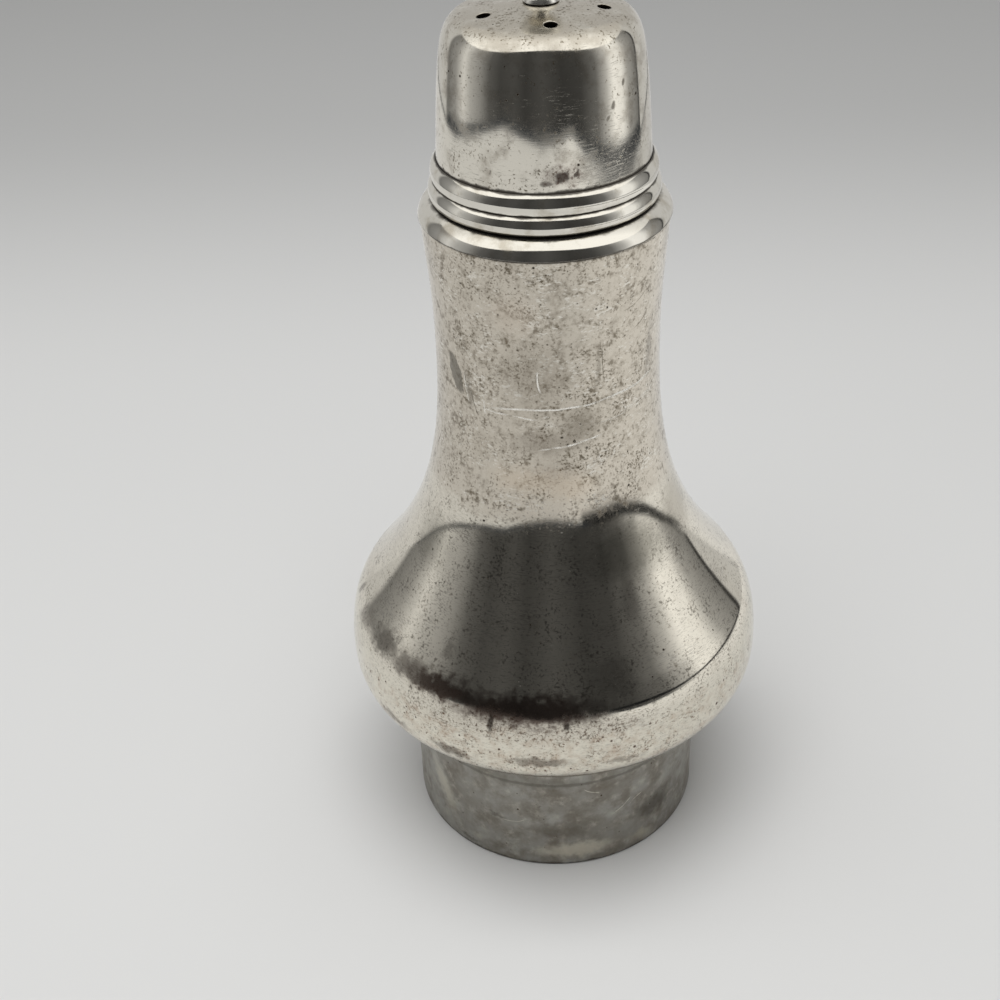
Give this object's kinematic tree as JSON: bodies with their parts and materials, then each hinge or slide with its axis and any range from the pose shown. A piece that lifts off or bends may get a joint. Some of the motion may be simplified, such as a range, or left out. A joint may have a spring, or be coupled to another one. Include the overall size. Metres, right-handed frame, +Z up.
{
  "type": "salt shaker",
  "caption": "Silver-plated baluster salt shaker: round body on a collet foot, with a drilled, finial-topped cap that lifts off the neck.",
  "frame": {"origin": "centre of the foot's base, on the surface that the shaker stands on", "axes": "+Z up along the shaker's axis; -Y is the side that the picture shows"},
  "size_m": [0.0446, 0.0446, 0.0973],
  "materials": {
    "plate_foot": "silver plate, dulled and blotched by handling",
    "plate_body": "silver plate, polished, with specks and stains of tarnish",
    "plate_trim": "silver plate, bright on the rounds",
    "plate_cap": "silver plate, polished, with spots of tarnish",
    "plate_inside": "silver plate, satin and yellowed",
    "plate_finial": "silver plate, polished"
  },
  "bodies": {
    "body": {"foot_ring": "plate_foot", "body_shell": "plate_body", "neck_collar": "plate_trim"},
    "cap": {"cap_shell": "plate_cap", "cap_lower_wire": "plate_trim", "cap_upper_wire": "plate_trim", "cap_sleeve": "plate_inside", "finial": "plate_finial"}
  },
  "joints": [
    {"name": "cap_lift", "type": "slide", "parent": "body", "child": "cap", "axis": [0, 0, 1], "range_m": [0, 0.025]}
  ]
}
